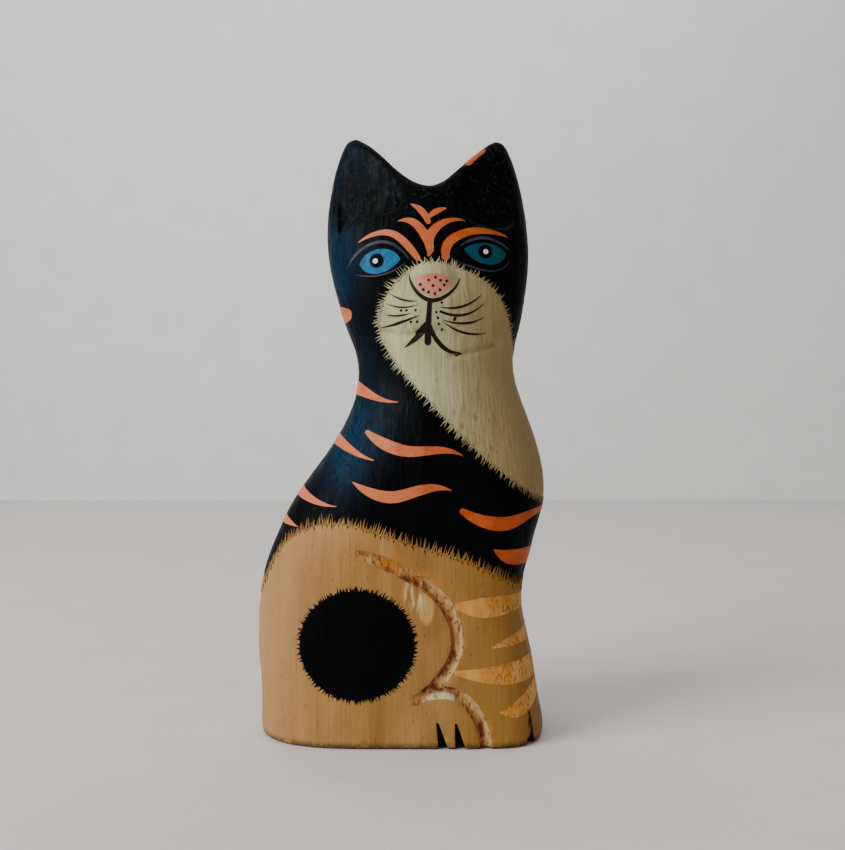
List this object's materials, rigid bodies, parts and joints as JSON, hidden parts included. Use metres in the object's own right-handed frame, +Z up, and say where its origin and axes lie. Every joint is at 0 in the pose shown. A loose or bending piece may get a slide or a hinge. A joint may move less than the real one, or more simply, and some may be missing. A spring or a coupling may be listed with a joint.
{
  "type": "carved wooden cat figurine",
  "caption": "Sitting cat carved from one thick plank of soft wood, head turned to the front, with thin painted coats, stripes, eyes and whiskers.",
  "frame": {"origin": "middle of the flat base", "axes": "+Z up, +X the way the chest points, -Y the painted front"},
  "size_m": [0.0974, 0.0508, 0.2006],
  "materials": {
    "carved_wood": "bare carved wood with open pores",
    "tan_stain": "thin tan wash, the grain shows through",
    "black_paint": "satin brushed blue-black paint",
    "white_paint": "matt off-white brushed paint",
    "orange_paint": "matt orange paint",
    "ochre_wash": "thin ochre wash on wood",
    "blue_paint": "blue paint",
    "grey_paint": "dry grey paint",
    "brown_paint": "dark brown paint",
    "pink_paint": "salmon pink paint"
  },
  "bodies": {
    "root": {"wood_body": "carved_wood", "tan_coat": "tan_stain", "bib_coat": "white_paint", "black_coat": "black_paint", "toe_cut_paint": "black_paint", "thigh_spot_front": "black_paint", "thigh_spot_rear": "black_paint", "brow_stripe_left": "orange_paint", "brow_stripe_right": "orange_paint", "forehead_blaze": "orange_paint", "crown_blaze": "orange_paint", "ear_spot": "orange_paint", "iris_left": "blue_paint", "iris_right": "blue_paint", "lid_lines_left": "grey_paint", "lid_lines_right": "grey_paint", "pupil_left": "black_paint", "pupil_right": "black_paint", "glint_left": "white_paint", "glint_right": "white_paint", "nose_and_mouth_line": "brown_paint", "nose_pad": "pink_paint", "nose_freckles": "brown_paint", "whiskers_left": "brown_paint", "whiskers_right": "brown_paint", "whisker_dots": "brown_paint", "cheek_spot": "orange_paint", "neck_stripe": "orange_paint", "back_stripe_upper": "orange_paint", "back_stripe_middle": "orange_paint", "back_stripe_lower": "orange_paint", "chest_stripe_upper": "orange_paint", "chest_stripe_lower": "orange_paint", "shoulder_stripe_upper_front": "orange_paint", "shoulder_stripe_upper_rear": "orange_paint", "shoulder_stripe_lower_front": "orange_paint", "shoulder_stripe_lower_rear": "orange_paint", "leg_stripe_1": "ochre_wash", "leg_stripe_2": "ochre_wash", "leg_stripe_3": "ochre_wash", "leg_stripe_4": "ochre_wash"}
  },
  "joints": []
}
